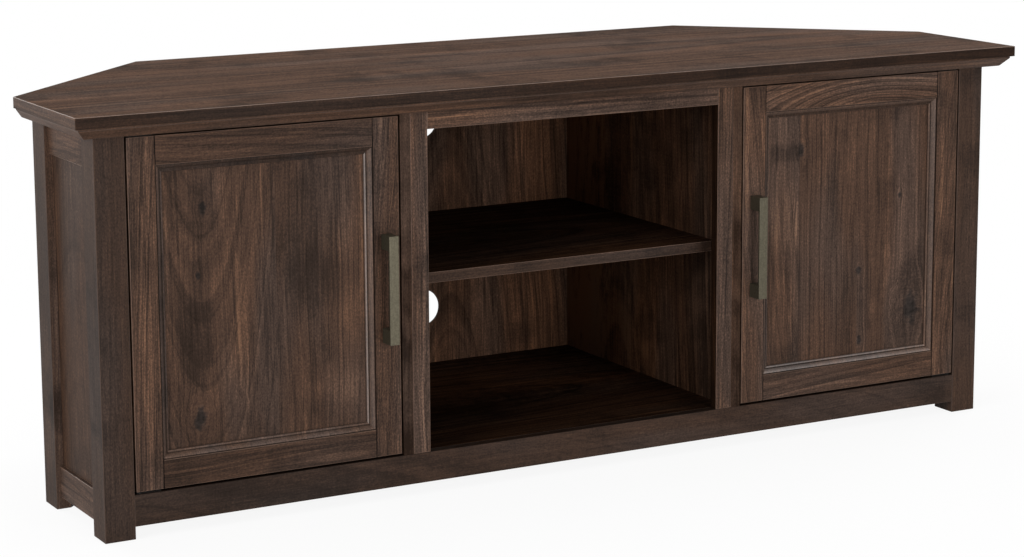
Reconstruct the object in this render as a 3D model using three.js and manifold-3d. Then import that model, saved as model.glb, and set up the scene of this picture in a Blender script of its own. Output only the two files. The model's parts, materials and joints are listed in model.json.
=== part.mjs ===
import * as THREE from 'three';
import { mergeVertices } from 'three/addons/utils/BufferGeometryUtils.js';
import Module from 'manifold-3d';

const wasm = await Module();
wasm.setup();

// A corner television cabinet: +Z up, front towards -Y, the origin on the floor under its middle.
// Driving sizes, in millimetres
const overallWidth = 1473;
const overallDepth = 512;
const overallHeight = 559;
const topSideLength = 233.5;
const topThickness = 15;
const topOverhang = 34;
const boardThickness = 15;
const backBoardThickness = 4;
const legSize = 42;
const footClearance = 17;
const railHeight = 42;
const middleBayWidth = 515;

// Cornice under the top
const corniceStep = 5;
const corniceFillet = 3;
const corniceHeight = 15;
const corniceChamferDepth = 11;

// Sides, rear legs and backs
const sideSpan = 140;
const sideRailSetback = 6;
const sidePanelSetback = 11;
const sideTopRailHeight = 61;
const rearLegFrontWidth = 20;
const rearLegInnerRun = 28;
const backRebate = 12;
const diagonalSetback = 5;
const backSetback = 3;
const backFootSize = 42;
const backFootInset = 12;
const cableHoleDiameter = 56;
const lowerHoleHeight = 147;
const upperHoleDrop = 104;

// Front frame and shelves
const stretcherDepth = 40;
const middleRailHeight = 26;
const battenWidth = 26;
const shelfSetback = 44;
const shelfTopHeight = 298;
const shelfSideClearance = 0.5;
const shelfBackClearance = 0.5;
const sideShelfBackGap = 49;

// Doors
const doorSideGap = 2.75;
const doorBottomGap = 3.25;
const doorTopGap = 4.75;
const doorThickness = 15;
const doorFrameWidth = 38;
const doorPanelSetback = 9;
const beadWidth = 10.5;
const beadRecess = 1;
const beadLip = 1.8;

// Handles
const handleLength = 148;
const handleWidth = 14;
const handleProjection = 24;
const handleBarThickness = 3;
const handleFootHeight = 20;
const handleEdgeDistance = 20;

// Pin hinges at the top and bottom of each door
const pivotInset = 5;
const pivotLeafLength = 34;
const pivotLeafWidth = 9;
const pivotLeafThickness = 1.25;
const pivotLeafMargin = 0.75;
const pivotPinRadius = 2;
const pivotPinReach = 11;
const pivotSleeveRadius = 3.5;
const pivotSleeveLength = 12;
const pivotRunningGap = 0.08;

// Magnetic catches
const catchWidth = 13;
const catchDepth = 15;
const catchHeight = 46;
const catchDrop = 20;
const catchPoleDepth = 2;
const catchPoleWidth = 2.5;
const strikeThickness = 1;
const strikeWidth = 11;
const strikeHeight = 38;
const strikeEdgeDistance = 1.75;

// Shelf pins
const shelfPinRadius = 2.5;
const shelfPinLength = 16;
const shelfPinSeat = 8;
const shelfPinChamfer = 0.6;
const shelfPinHoleDepth = 9;
const shelfPinInset = 50;

// Clearances, and an overrun for cutting shapes
const seatGap = 0.3;
const cutOverrun = 1;

// Round shapes: how many sides
const holeSides = 48;
const pinSides = 24;

// Places that follow from the sizes
const halfWidth = overallWidth / 2;
const frontEdge = -overallDepth / 2;
const backEdge = overallDepth / 2;
const topUnderside = overallHeight - topThickness;
const legFace = halfWidth - topOverhang;
const legInner = legFace - legSize;
const frontFace = frontEdge + topOverhang;
const legBack = frontFace + legSize;
const boardBack = frontFace + boardThickness;
const railTop = footClearance + railHeight;
const floorUnderside = railTop - boardThickness;
const openingTop = topUnderside - boardThickness;
const stretcherBack = frontFace + stretcherDepth;
const dividerInner = middleBayWidth / 2;
const dividerOuter = dividerInner + boardThickness;
const sideInner = legFace - sidePanelSetback - boardThickness;
const rearLegFront = legBack + sideSpan;
const backOuter = backEdge - backSetback;
const backInner = backOuter - backBoardThickness;

// Each diagonal is a line on which the distance from the middle and y add up to one value
const diagonalTop = halfWidth + frontEdge + topSideLength;
const diagonalOuter = diagonalTop - diagonalSetback * Math.SQRT2;
const diagonalInner = diagonalOuter - backBoardThickness * Math.SQRT2;
const diagonalSeat = diagonalInner - seatGap * Math.SQRT2;

// Inner faces of the rear leg: one runs with the diagonal and the other across it
const rearLegRunLine = legFace - rearLegFrontWidth + rearLegFront;
const rearLegCrossLine = legFace - rearLegFrontWidth - rearLegFront - 2 * rearLegInnerRun;
const runSeat = rearLegRunLine - seatGap * Math.SQRT2;
const crossSeat = rearLegCrossLine - seatGap * Math.SQRT2;

// The diagonal back laps onto the rear leg up to the end of a rebate
const rebateLine = rearLegCrossLine + backRebate * Math.SQRT2;
const diagonalBackEnd = rebateLine - seatGap * Math.SQRT2;

const upperHoleHeight = topUnderside - upperHoleDrop;
const shelfUnderside = shelfTopHeight - boardThickness;
const shelfFront = frontFace + shelfSetback;
const shelfBack = backInner - shelfBackClearance;
const doorOuter = legInner - doorSideGap;
const doorInner = dividerOuter + doorSideGap;
const doorWidth = doorOuter - doorInner;
const doorBottom = railTop + doorBottomGap;
const doorTop = openingTop - doorTopGap;
const doorHeight = doorTop - doorBottom;

const cabinet = new THREE.Group();

// Finishes
function walnut() {
  return new THREE.MeshStandardMaterial({ color: 0x4a372e, roughness: 0.48, metalness: 0 });
}

function darkWalnut() {
  return new THREE.MeshStandardMaterial({ color: 0x3b2c26, roughness: 0.5, metalness: 0 });
}

function agedBrass() {
  return new THREE.MeshStandardMaterial({ color: 0x6b6654, roughness: 0.38, metalness: 0.9 });
}

function zincSteel() {
  return new THREE.MeshStandardMaterial({ color: 0xa9abad, roughness: 0.35, metalness: 0.9 });
}

function blackSteel() {
  return new THREE.MeshStandardMaterial({ color: 0x2a2624, roughness: 0.5, metalness: 0.6 });
}

function brownPlastic() {
  return new THREE.MeshStandardMaterial({ color: 0x2f2824, roughness: 0.55, metalness: 0 });
}

// A named mesh in a group
function add(parent, name, geometry, finish) {
  const mesh = new THREE.Mesh(geometry, finish());
  mesh.name = name;
  parent.add(mesh);
  return mesh;
}

// A rectangular piece between two corners, placed by its middle
function addBlock(parent, name, low, high, finish) {
  const size = high.map((value, i) => value - low[i]);
  const mesh = add(parent, name, new THREE.BoxGeometry(...size), finish);
  mesh.position.set(...high.map((value, i) => (value + low[i]) / 2));
  return mesh;
}

// The two ends of a mirrored piece's reach across the cabinet, lowest first
function across(side, outer, inner) {
  return side < 0 ? [-outer, -inner] : [inner, outer];
}

function sideBlock(parent, name, side, [outer, inner], [front, back], [bottom, top], finish) {
  const [left, right] = across(side, outer, inner);
  return addBlock(parent, name, [left, front, bottom], [right, back, top], finish);
}

function outline(points) {
  return new THREE.Shape(points.map(([x, y]) => new THREE.Vector2(x, y)));
}

// A board whose plan is an outline, standing from its position upwards
function plate(points, thickness) {
  return new THREE.ExtrudeGeometry(outline(points), { depth: thickness, bevelEnabled: false });
}

// A board whose side view is an outline of (y, z), reaching along +X
function sideView(points, thickness) {
  const turn = new THREE.Matrix4().makeBasis(
    new THREE.Vector3(0, 1, 0),
    new THREE.Vector3(0, 0, 1),
    new THREE.Vector3(1, 0, 0),
  );
  return plate(points, thickness).applyMatrix4(turn);
}

function block(size, middle) {
  return new THREE.BoxGeometry(...size).translate(...middle);
}

// A round rod along Z, from its bottom upwards
function rod(radius, length, [x, y, bottom]) {
  return new THREE.CylinderGeometry(radius, radius, length, pinSides)
    .rotateX(Math.PI / 2)
    .translate(x, y, bottom + length / 2);
}

// Closed solids for cutting and joining
function solidOf(geometry) {
  const bare = geometry.clone();
  bare.deleteAttribute('normal');
  bare.deleteAttribute('uv');
  const merged = mergeVertices(bare);
  return new wasm.Manifold(new wasm.Mesh({
    numProp: 3,
    vertProperties: merged.attributes.position.array,
    triVerts: new Uint32Array(merged.index.array),
  }));
}

function geometryOf(solid) {
  const mesh = solid.getMesh();
  const geometry = new THREE.BufferGeometry();
  geometry.setAttribute('position', new THREE.BufferAttribute(mesh.vertProperties, 3));
  geometry.setIndex(new THREE.BufferAttribute(mesh.triVerts, 1));
  const faceted = geometry.toNonIndexed();
  faceted.computeVertexNormals();
  return faceted;
}

function join(first, ...others) {
  return geometryOf(others.reduce((solid, next) => solid.add(solidOf(next)), solidOf(first)));
}

function cut(first, ...others) {
  return geometryOf(others.reduce((solid, next) => solid.subtract(solidOf(next)), solidOf(first)));
}

// Top: a board with its two rear corners cut off at 45 degrees
function addTop() {
  const half = [
    [halfWidth, frontEdge],
    [halfWidth, frontEdge + topSideLength],
    [diagonalTop - backEdge, backEdge],
  ];
  const mirrored = half.map(([x, y]) => [-x, y]).reverse();
  const top = add(cabinet, 'top', plate([...half, ...mirrored], topThickness), walnut);
  top.position.z = topUnderside;
}

// Cornice: three strips of one moulding, mitred at the front corners
const corniceProfile = [
  [corniceStep, corniceHeight],
  [corniceStep, corniceHeight - corniceFillet],
  [corniceStep + corniceChamferDepth, 0],
  [topOverhang, 0],
  [topOverhang, corniceHeight],
];

// A strip whose two ends follow the moulding's depth, so that mitres and angled ends come out
function mitredStrip(profile, startAt, endAt) {
  const geometry = new THREE.ExtrudeGeometry(outline(profile), { depth: 1, bevelEnabled: false });
  const position = geometry.attributes.position;
  for (let i = 0; i < position.count; i += 1) {
    const placeAt = position.getZ(i) > 0 ? endAt : startAt;
    const [x, y] = placeAt(position.getX(i));
    position.setXYZ(i, x, y, position.getY(i));
  }
  geometry.computeVertexNormals();
  return geometry;
}

function addCornice() {
  const front = mitredStrip(
    corniceProfile,
    (inset) => [-(halfWidth - inset - seatGap), frontEdge + inset],
    (inset) => [halfWidth - inset - seatGap, frontEdge + inset],
  );
  add(cabinet, 'front_cornice', front, walnut).position.z = topUnderside - corniceHeight;
  for (const [side, word] of [[-1, 'left'], [1, 'right']]) {
    const mitre = (inset) => [side * (halfWidth - inset), frontEdge + inset];
    const end = (inset) => [side * (halfWidth - inset), frontEdge + topSideLength + inset];
    const strip = side < 0 ? mitredStrip(corniceProfile, end, mitre) : mitredStrip(corniceProfile, mitre, end);
    add(cabinet, `${word}_cornice`, strip, walnut).position.z = topUnderside - corniceHeight;
  }
}

// Legs: square ones in front, five-sided ones where the sides meet the diagonals, short feet behind
function addLegs(side, word) {
  sideBlock(cabinet, `${word}_front_leg`, side, [legFace, legInner], [frontFace, legBack], [0, topUnderside], darkWalnut);
  const innerFace = legFace - rearLegFrontWidth;
  const plan = [
    [legFace, rearLegFront],
    [innerFace, rearLegFront],
    [innerFace - rearLegInnerRun, rearLegFront + rearLegInnerRun],
    [(diagonalSeat + rearLegCrossLine) / 2, (diagonalSeat - rearLegCrossLine) / 2],
    [(diagonalSeat + rebateLine) / 2, (diagonalSeat - rebateLine) / 2],
    [(diagonalOuter + rebateLine) / 2, (diagonalOuter - rebateLine) / 2],
    [legFace, diagonalOuter - legFace],
  ];
  add(cabinet, `${word}_rear_leg`, plate(plan.map(([x, y]) => [side * x, y]), topUnderside), darkWalnut);
  const footOuter = diagonalSeat - backInner - backFootInset;
  sideBlock(
    cabinet,
    `${word}_back_foot`,
    side,
    [footOuter, footOuter - backFootSize],
    [backInner - backFootInset - backFootSize, backInner - backFootInset],
    [0, floorUnderside],
    darkWalnut,
  );
}

// Sides: a panel between two rails that stand a little proud of it
function addSide(side, word) {
  const railReach = [legFace - sideRailSetback, sideInner];
  const panelReach = [legFace - sidePanelSetback, sideInner];
  const depth = [legBack, rearLegFront];
  const topRailBottom = topUnderside - sideTopRailHeight;
  sideBlock(cabinet, `${word}_side_top_rail`, side, railReach, depth, [topRailBottom, topUnderside], walnut);
  sideBlock(cabinet, `${word}_side_panel`, side, panelReach, depth, [railTop, topRailBottom], walnut);
  sideBlock(cabinet, `${word}_side_bottom_rail`, side, railReach, depth, [footClearance, railTop], walnut);
}

// Floor: one board that fills the plan inside the rails and round the legs
function addFloor() {
  const half = [
    [legInner, boardBack],
    [legInner, legBack],
    [sideInner, legBack],
    [sideInner, runSeat - sideInner],
    [(runSeat + crossSeat) / 2, (runSeat - crossSeat) / 2],
    [(diagonalSeat + crossSeat) / 2, (diagonalSeat - crossSeat) / 2],
    [diagonalSeat - backInner, backInner],
  ];
  const mirrored = half.map(([x, y]) => [-x, y]).reverse();
  const floor = add(cabinet, 'floor_panel', plate([...half, ...mirrored], boardThickness), darkWalnut);
  floor.position.z = floorUnderside;
}

// Front frame: rails, the stretcher over the doors, dividers and the battens on them
function addFrontFrame() {
  addBlock(cabinet, 'front_bottom_rail', [-legInner, frontFace, footClearance], [legInner, boardBack, railTop], darkWalnut);
  addBlock(cabinet, 'top_stretcher', [-legInner, frontFace, openingTop], [legInner, stretcherBack, topUnderside], walnut);
  const battenInner = dividerInner - battenWidth;
  addBlock(
    cabinet,
    'middle_top_rail',
    [-battenInner, frontFace, openingTop - middleRailHeight],
    [battenInner, boardBack, openingTop],
    walnut,
  );
}

// Places of the shelf pins from front to back, and their height
const shelfPinPlaces = [['front', shelfFront + shelfPinInset], ['back', shelfBack - shelfPinInset]];
const shelfPinHeight = shelfUnderside - shelfPinRadius;

function addDivider(side, word) {
  const view = [
    [frontFace, railTop],
    [backInner, railTop],
    [backInner, topUnderside],
    [stretcherBack, topUnderside],
    [stretcherBack, openingTop],
    [frontFace, openingTop],
  ];
  const holeRadius = shelfPinRadius + seatGap;
  const holeLength = shelfPinHoleDepth + cutOverrun;
  const holeMiddle = dividerInner + shelfPinHoleDepth - holeLength / 2;
  const holes = shelfPinPlaces.map(([, y]) => new THREE.CylinderGeometry(holeRadius, holeRadius, holeLength, pinSides)
    .rotateZ(Math.PI / 2)
    .translate(side * holeMiddle, y, shelfPinHeight));
  const [left] = across(side, dividerOuter, dividerInner);
  const board = sideView(view, boardThickness).translate(left, 0, 0);
  add(cabinet, `${word}_divider`, cut(board, ...holes), walnut);
  sideBlock(
    cabinet,
    `${word}_batten`,
    side,
    [dividerInner, dividerInner - battenWidth],
    [frontFace, boardBack],
    [railTop, openingTop],
    walnut,
  );
}

// Shelves: a loose one on pins in the middle, and a fixed one behind each door
function addMiddleShelf() {
  const reach = dividerInner - shelfSideClearance;
  addBlock(cabinet, 'middle_shelf', [-reach, shelfFront, shelfUnderside], [reach, shelfBack, shelfTopHeight], darkWalnut);
  const profile = [
    [0, 0],
    [shelfPinRadius - shelfPinChamfer, 0],
    [shelfPinRadius, shelfPinChamfer],
    [shelfPinRadius, shelfPinLength - shelfPinChamfer],
    [shelfPinRadius - shelfPinChamfer, shelfPinLength],
    [0, shelfPinLength],
  ];
  for (const [side, word] of [[-1, 'left'], [1, 'right']]) {
    for (const [place, y] of shelfPinPlaces) {
      const pin = new THREE.LatheGeometry(profile.map(([x, h]) => new THREE.Vector2(x, h)), pinSides);
      pin.rotateZ(-side * Math.PI / 2);
      const mesh = add(cabinet, `${place}_${word}_shelf_pin`, pin, zincSteel);
      mesh.position.set(side * (dividerInner + shelfPinSeat - shelfPinLength), y, shelfPinHeight);
    }
  }
}

function addSideShelf(side, word) {
  const shelfEnd = backInner - sideShelfBackGap;
  const plan = [
    [dividerOuter, shelfFront],
    [sideInner, shelfFront],
    [sideInner, runSeat - sideInner],
    [runSeat - shelfEnd, shelfEnd],
    [dividerOuter, shelfEnd],
  ];
  const shelf = add(cabinet, `${word}_shelf`, plate(plan.map(([x, y]) => [side * x, y]), boardThickness), darkWalnut);
  shelf.position.z = shelfUnderside;
}

// Backs: thin boards, the middle one with two round cable holes
function addBacks() {
  const reach = diagonalSeat - backInner;
  const shape = outline([
    [-reach, floorUnderside],
    [reach, floorUnderside],
    [reach, topUnderside],
    [-reach, topUnderside],
  ]);
  for (const height of [lowerHoleHeight, upperHoleHeight]) {
    const hole = new THREE.Path();
    hole.absarc(0, height, cableHoleDiameter / 2, 0, 2 * Math.PI, true);
    shape.holes.push(hole);
  }
  const board = new THREE.ExtrudeGeometry(shape, {
    depth: backBoardThickness,
    bevelEnabled: false,
    curveSegments: holeSides,
  });
  board.rotateX(Math.PI / 2);
  add(cabinet, 'back_panel', board, walnut).position.y = backOuter;
}

function addDiagonalBack(side, word) {
  const plan = [
    [(diagonalInner + diagonalBackEnd) / 2, (diagonalInner - diagonalBackEnd) / 2],
    [(diagonalOuter + diagonalBackEnd) / 2, (diagonalOuter - diagonalBackEnd) / 2],
    [diagonalOuter - backOuter, backOuter],
    [diagonalInner - backInner, backInner],
  ];
  const height = topUnderside - floorUnderside;
  const board = add(cabinet, `${word}_diagonal_back`, plate(plan.map(([x, y]) => [side * x, y]), height), walnut);
  board.position.z = floorUnderside;
}

// Section of the bead, from the door frame inwards: how far in, and how high over the lip
const beadShares = [[0, 1], [0.18, 1], [0.34, 0.88], [0.48, 0.62], [0.64, 0.38], [0.82, 0.28]];

// Door bead: a moulding round the panel, made as a four-sided turning pulled out to the door's opening
function beadRing(openingWidth, openingHeight) {
  const drop = doorPanelSetback;
  const rise = drop - beadRecess;
  const moulded = rise - beadLip;
  const face = beadShares.map(([inShare, upShare]) => [inShare * beadWidth, drop - beadLip - upShare * moulded]);
  const profile = [[0, drop], [beadWidth, drop], [beadWidth, drop - beadLip], ...face.reverse(), [0, drop]];
  const core = 2 * beadWidth;
  const turned = profile.map(([inset, depth]) => new THREE.Vector2((core - inset) * Math.SQRT2, depth));
  const ring = new THREE.LatheGeometry(turned, 4, Math.PI / 4);
  const position = ring.attributes.position;
  const pullX = openingWidth / 2 - seatGap - core;
  const pullZ = openingHeight / 2 - seatGap - core;
  for (let i = 0; i < position.count; i += 1) {
    const x = position.getX(i);
    const z = position.getZ(i);
    position.setX(i, x + Math.sign(x) * pullX);
    position.setZ(i, z + Math.sign(z) * pullZ);
  }
  ring.computeVertexNormals();
  return ring;
}

// Handle: a flat bar on two square feet, drawn from the side as a bracket
function handleGeometry() {
  const half = handleLength / 2;
  const footInner = half - handleFootHeight;
  const barBack = handleBarThickness - handleProjection;
  const view = [
    [0, -half],
    [0, -footInner],
    [barBack, -footInner],
    [barBack, footInner],
    [0, footInner],
    [0, half],
    [-handleProjection, half],
    [-handleProjection, -half],
  ];
  return sideView(view, handleWidth).translate(-handleWidth / 2, 0, 0);
}

// Hinge leaf: a thin plate at a door's corner. Its bottom is at the given height.
const leafMiddle = pivotLeafMargin + pivotLeafLength / 2 - pivotInset;
const leafDepth = doorThickness / 2 - pivotInset;

function leaf(side, bottom) {
  return block(
    [pivotLeafLength, pivotLeafWidth, pivotLeafThickness],
    [-side * leafMiddle, leafDepth, bottom + pivotLeafThickness / 2],
  );
}

// One hinge has a plate with a pin on the cabinet and a socket in the door's edge
function addHinge(door, side, name, upwards, doorEdge, cabinetEdge, gap) {
  const shoulder = gap - 2 * pivotLeafThickness - seatGap;
  const sleeveOnPin = pivotPinRadius + pivotRunningGap;
  const pinLength = pivotPinReach + gap;
  const along = (edge, from, to) => (upwards ? edge + from : edge - to);
  const plateLeaf = leaf(side, along(cabinetEdge, 0, pivotLeafThickness));
  const collar = rod(
    pivotSleeveRadius,
    pivotLeafThickness + shoulder,
    [0, 0, along(cabinetEdge, 0, pivotLeafThickness + shoulder)],
  );
  const pin = rod(pivotPinRadius, pinLength, [0, 0, along(cabinetEdge, 0, pinLength)]);
  const plateMesh = add(cabinet, `${name}_hinge_plate`, join(plateLeaf, collar, pin), blackSteel);
  plateMesh.position.copy(door.position);

  const socketLeaf = leaf(side, along(doorEdge, -pivotLeafThickness, 0));
  const sleeve = rod(
    pivotSleeveRadius,
    pivotLeafThickness + pivotSleeveLength,
    [0, 0, along(doorEdge, -pivotLeafThickness, pivotSleeveLength)],
  );
  const boreLength = pivotLeafThickness + pivotSleeveLength + 2 * cutOverrun;
  const bore = rod(
    sleeveOnPin,
    boreLength,
    [0, 0, along(doorEdge, -pivotLeafThickness - cutOverrun, pivotSleeveLength + cutOverrun)],
  );
  add(door, `${name}_hinge_socket`, cut(join(socketLeaf, sleeve), bore), blackSteel);
}

// Doors: each is a group whose origin is on its hinge pins, so it swings by turning about Z
function addDoor(side, word) {
  const door = new THREE.Group();
  door.position.set(side * (doorOuter - pivotInset), frontFace + pivotInset, 0);
  cabinet.add(door);
  const face = -pivotInset;
  const back = face + doorThickness;
  const reach = (from, to) => [pivotInset - from, pivotInset - to];
  const farStile = doorWidth - doorFrameWidth;
  const openingReach = reach(doorFrameWidth, farStile);
  const openingBottom = doorBottom + doorFrameWidth;
  const openingTopEdge = doorTop - doorFrameWidth;
  const depth = [face, back];
  const blockAt = (name, [outer, inner], [front, rear], [bottom, top]) => {
    const ends = side < 0 ? [-outer, -inner] : [inner, outer];
    return addBlock(door, `${word}_door_${name}`, [ends[0], front, bottom], [ends[1], rear, top], walnut);
  };

  const socketHoleRadius = pivotSleeveRadius + seatGap;
  const socketHoleDepth = pivotSleeveLength + seatGap;
  const [outerEdge, innerEdge] = reach(0, doorFrameWidth);
  const hingeStile = block(
    [doorFrameWidth, doorThickness, doorHeight],
    [side * (outerEdge + innerEdge) / 2, (face + back) / 2, (doorBottom + doorTop) / 2],
  );
  const holeLength = socketHoleDepth + cutOverrun;
  const bored = cut(
    hingeStile,
    rod(socketHoleRadius, holeLength, [0, 0, doorBottom - cutOverrun]),
    rod(socketHoleRadius, holeLength, [0, 0, doorTop - socketHoleDepth]),
  );
  add(door, `${word}_door_hinge_stile`, bored, walnut);
  blockAt('lock_stile', reach(farStile, doorWidth), depth, [doorBottom, doorTop]);
  blockAt('top_rail', openingReach, depth, [openingTopEdge, doorTop]);
  blockAt('bottom_rail', openingReach, depth, [doorBottom, openingBottom]);
  blockAt('panel', openingReach, [face + doorPanelSetback, back], [openingBottom, openingTopEdge]);

  const bead = beadRing(farStile - doorFrameWidth, openingTopEdge - openingBottom);
  const beadMesh = add(door, `${word}_door_bead`, bead, walnut);
  beadMesh.position.set(side * (pivotInset - doorWidth / 2), face, (doorBottom + doorTop) / 2);

  const handle = add(door, `${word}_handle`, handleGeometry(), agedBrass);
  handle.position.set(side * (pivotInset - doorWidth + handleEdgeDistance), face, (doorBottom + doorTop) / 2);

  addHinge(door, side, `${word}_lower`, true, doorBottom, railTop, doorBottomGap);
  addHinge(door, side, `${word}_upper`, false, doorTop, openingTop, doorTopGap);
  addCatch(door, side, word, back);
}

// Magnetic catch on the divider, and its steel strike on the door
function addCatch(door, side, word, doorBack) {
  const top = openingTop - catchDrop;
  const middle = top - catchHeight / 2;
  const strikeOuter = doorWidth - strikeEdgeDistance;
  const strikeMiddle = side * (pivotInset - strikeOuter + strikeWidth / 2);
  const strike = new THREE.BoxGeometry(strikeWidth, strikeThickness, strikeHeight);
  add(door, `${word}_strike_plate`, strike, zincSteel)
    .position.set(strikeMiddle, doorBack + strikeThickness / 2, middle);

  const front = frontFace + doorThickness + strikeThickness + seatGap;
  const bodyFront = front + catchPoleDepth;
  const bodyDepth = catchDepth - catchPoleDepth;
  const poleLength = catchPoleDepth + cutOverrun;
  const poleOffset = catchWidth / 2 - catchPoleWidth;
  const body = block([catchWidth, bodyDepth, catchHeight], [0, bodyFront + bodyDepth / 2, 0]);
  const poles = [-poleOffset, poleOffset].map((x) => block(
    [catchPoleWidth, poleLength, strikeHeight],
    [x, front + poleLength / 2, 0],
  ));
  add(cabinet, `${word}_magnetic_catch`, join(body, ...poles), brownPlastic)
    .position.set(side * (dividerOuter + catchWidth / 2), 0, middle);
}

addTop();
addCornice();
addFloor();
addFrontFrame();
addMiddleShelf();
addBacks();
for (const [side, word] of [[-1, 'left'], [1, 'right']]) {
  addLegs(side, word);
  addSide(side, word);
  addDivider(side, word);
  addSideShelf(side, word);
  addDiagonalBack(side, word);
  addDoor(side, word);
}

export default cabinet;
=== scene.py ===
import json
import math

import bmesh
import bpy
from mathutils import Matrix, Vector


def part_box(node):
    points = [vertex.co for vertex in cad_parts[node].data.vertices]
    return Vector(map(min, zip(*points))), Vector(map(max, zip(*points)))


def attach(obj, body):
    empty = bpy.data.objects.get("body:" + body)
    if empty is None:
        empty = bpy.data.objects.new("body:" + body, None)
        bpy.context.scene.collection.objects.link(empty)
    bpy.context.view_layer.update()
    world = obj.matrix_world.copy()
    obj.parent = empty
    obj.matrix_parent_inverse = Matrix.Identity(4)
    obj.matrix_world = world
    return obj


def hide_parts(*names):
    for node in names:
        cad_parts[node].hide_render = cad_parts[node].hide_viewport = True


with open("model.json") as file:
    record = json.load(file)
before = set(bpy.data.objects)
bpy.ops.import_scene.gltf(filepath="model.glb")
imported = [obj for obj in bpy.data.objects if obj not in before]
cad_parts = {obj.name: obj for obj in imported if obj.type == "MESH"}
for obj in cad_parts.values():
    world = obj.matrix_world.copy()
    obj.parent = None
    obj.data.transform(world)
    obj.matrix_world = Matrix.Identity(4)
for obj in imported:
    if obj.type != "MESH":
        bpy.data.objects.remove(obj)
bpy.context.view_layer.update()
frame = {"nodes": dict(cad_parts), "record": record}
nodes = frame["nodes"]
print("frame loaded:", len(nodes), "nodes")

mm = 0.001


# colours are picked as on a screen, 0 to 255, and turned into Blender's linear ones
def linear(colour):
    parts = [c / 255 for c in colour]
    parts = [p / 12.92 if p <= 0.04045 else ((p + 0.055) / 1.055) ** 2.4 for p in parts]
    return (*parts, 1.0)


# one node with its settings and inputs; an input may be a value or another node's output
def put(tree, kind, settings=None, inputs=None, output=0):
    made = tree.nodes.new(kind)
    for key, value in (settings or {}).items():
        setattr(made, key, value)
    for key, value in (inputs or {}).items():
        if isinstance(value, bpy.types.NodeSocket):
            tree.links.new(value, made.inputs[key])
        else:
            made.inputs[key].default_value = value
    return made.outputs[output]


def sums(tree, operation, *values):
    return put(tree, "ShaderNodeMath", {"operation": operation}, dict(enumerate(values)))


def total(tree, parts):
    result = parts[0]
    for part in parts[1:]:
        result = sums(tree, "ADD", result, part)
    return result


def vectors(tree, operation, *values, output=0):
    return put(tree, "ShaderNodeVectorMath", {"operation": operation}, dict(enumerate(values)), output)


def parted(tree, vector):
    return put(tree, "ShaderNodeSeparateXYZ", None, {0: vector}).node.outputs


def remap(tree, value, fromLow, fromHigh, toLow, toHigh, kind="LINEAR"):
    return put(tree, "ShaderNodeMapRange", {"interpolation_type": kind},
               {0: value, 1: fromLow, 2: fromHigh, 3: toLow, 4: toHigh})


def stepped(tree, value, low, high, toLow, toHigh):
    return remap(tree, value, low, high, toLow, toHigh, "SMOOTHSTEP")


# a value that swings about a half, swinging about zero instead and by a given strength
def centred(tree, value, strength):
    return sums(tree, "MULTIPLY", sums(tree, "SUBTRACT", value, 0.5), strength)


def noise(tree, place, scale, detail, roughness=0.5, output=0):
    return put(tree, "ShaderNodeTexNoise", None, {
        "Vector": place, "Scale": scale, "Detail": detail, "Roughness": roughness}, output)


# a noise with its own scale along each axis
def stretchedNoise(tree, place, scale, detail, roughness=0.5, output=0):
    return noise(tree, vectors(tree, "MULTIPLY", place, scale), 1.0, detail, roughness, output)


def blend(tree, share, first, second, kind="MIX"):
    return put(tree, "ShaderNodeMix", {"data_type": "RGBA", "blend_type": kind}, {0: share, 6: first, 7: second}, 2)


# a ramp's stops give a place and a colour as on a screen
def ramp(tree, value, stops):
    made = tree.nodes.new("ShaderNodeValToRGB")
    tree.links.new(value, made.inputs[0])
    elements = made.color_ramp.elements
    while len(elements) < len(stops):
        elements.new(0.5)
    for element, (place, colour) in zip(elements, stops):
        element.position = place
        element.color = linear(colour)
    return made.outputs[0]


# a material with its node tree, its shader and the place on the object that its patterns start from
def newMaterial(name):
    material = bpy.data.materials.new(name)
    material.use_nodes = True
    tree = material.node_tree
    return material, tree, tree.nodes["Principled BSDF"], put(tree, "ShaderNodeTexCoord", output="Object")


def bumped(tree, shader, height, strength, depth):
    bump = put(tree, "ShaderNodeBump", None, {"Strength": strength, "Distance": depth, "Height": height})
    tree.links.new(bump, shader.inputs["Normal"])


# walnut: streaks and rings run along the board, with knots, grey patches, fine pores and short flecks
walnut = {
    "stops": [(0.16, (31, 22, 17)), (0.42, (56, 42, 34)), (0.60, (80, 59, 47)), (0.88, (124, 91, 69))],
    "middleTone": 0.555,
    "ringTone": 0.46, "lineTone": 0.13, "streakTone": 0.4, "lightTone": 0.16, "hairTone": 0.12,
    "poreTone": 0.36, "fleckTone": 0.5, "curlTone": 0.05, "sawTone": 0.13, "knotTone": 0.27,
    "roughAtDark": 0.59, "roughAtLight": 0.46,
    "greyed": {"Saturation": 0.84, "Value": 0.95},
    "nextBoard": (0.9, 0.3, 1.7),
    "seedSteps": (0.731, 0.317, 1.193),
    "bump": (0.35, 0.00012),
}

# what a board's look is where it says nothing else; its axes are named in the order across, through and along it
plainBoard = {
    "pith": (0.0, 0.2, 0.06), "ringWidth": 0.011,
    "figure": 1.0, "rings": 1.0, "streaks": 1.0, "fineness": 1.0, "smudge": 0.13, "vein": 0.06,
    "tone": 1.0, "warmth": 0.0, "gloss": 0.05,
    "boardEdges": [], "knots": [], "shades": [],
}

# a knot: its length over its width, its ragged rim, and how far out it darkens and bends the grain, in radii
knotLook = {"length": 1.7, "rim": (110.0, 3.0), "rimReach": 1.8, "dark": (0.3, 1.35), "bend": 4.2, "bendShare": 0.75,
            "ashen": {"Saturation": 0.62, "Value": 1.0}, "ashenShare": 0.9}

# a paler or darker cloud: its ragged rim, and where it fades, as a share of its reach
cloudLook = {"rim": ((60.0, 60.0, 22.0), 4.0, 0.65), "rimReach": 2.2, "fade": (0.2, 1.5)}

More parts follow.
